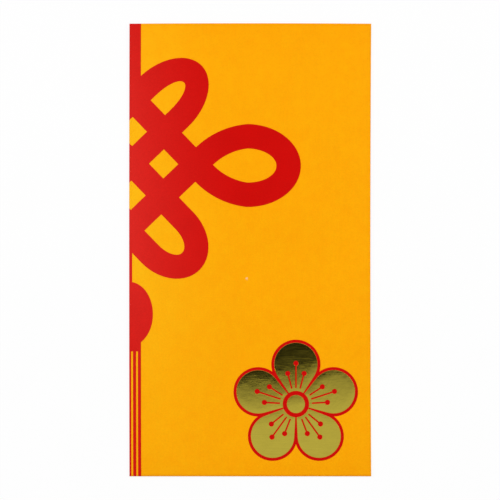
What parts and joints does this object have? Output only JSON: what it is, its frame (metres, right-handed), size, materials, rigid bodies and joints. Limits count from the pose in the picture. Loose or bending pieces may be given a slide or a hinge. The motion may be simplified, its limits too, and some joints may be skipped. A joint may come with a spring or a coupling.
{
  "type": "red envelope",
  "caption": "Flat golden-yellow paper money envelope with a red knot-and-tassel print round its left fold, a gold foil blossom and a flap that swings open behind the top edge.",
  "frame": {"origin": "on the surface the envelope lies on, under the middle of its outline", "axes": "+Z out of the printed front, +Y towards the mouth and the closure flap's crease, +X to the right seen from the front"},
  "size_m": [0.09, 0.169, 0.0018],
  "materials": {
    "printed_paper": "matte",
    "glue": "satin",
    "red_ink": "satin",
    "gold_foil": "polished"
  },
  "bodies": {
    "envelope": {"front_panel": "printed_paper", "back_panel": "printed_paper", "left_fold": "printed_paper", "right_fold": "printed_paper", "bottom_fold": "printed_paper", "top_crease": "printed_paper", "side_seam_tab": "printed_paper", "side_seam_glue": "glue", "bottom_flap": "printed_paper", "bottom_flap_glue": "glue", "knot_print_front": "red_ink", "knot_print_back": "red_ink", "emblem_underprint": "red_ink", "emblem_foil": "gold_foil"},
    "flap": {"closure_flap": "printed_paper"}
  },
  "joints": [
    {"name": "flap_hinge", "type": "hinge", "parent": "envelope", "child": "flap", "pos_m": [0, 0.08366, 0.00084], "axis": [1, 0, 0], "range_deg": [0, 180], "deforming": ["top_crease"]}
  ]
}
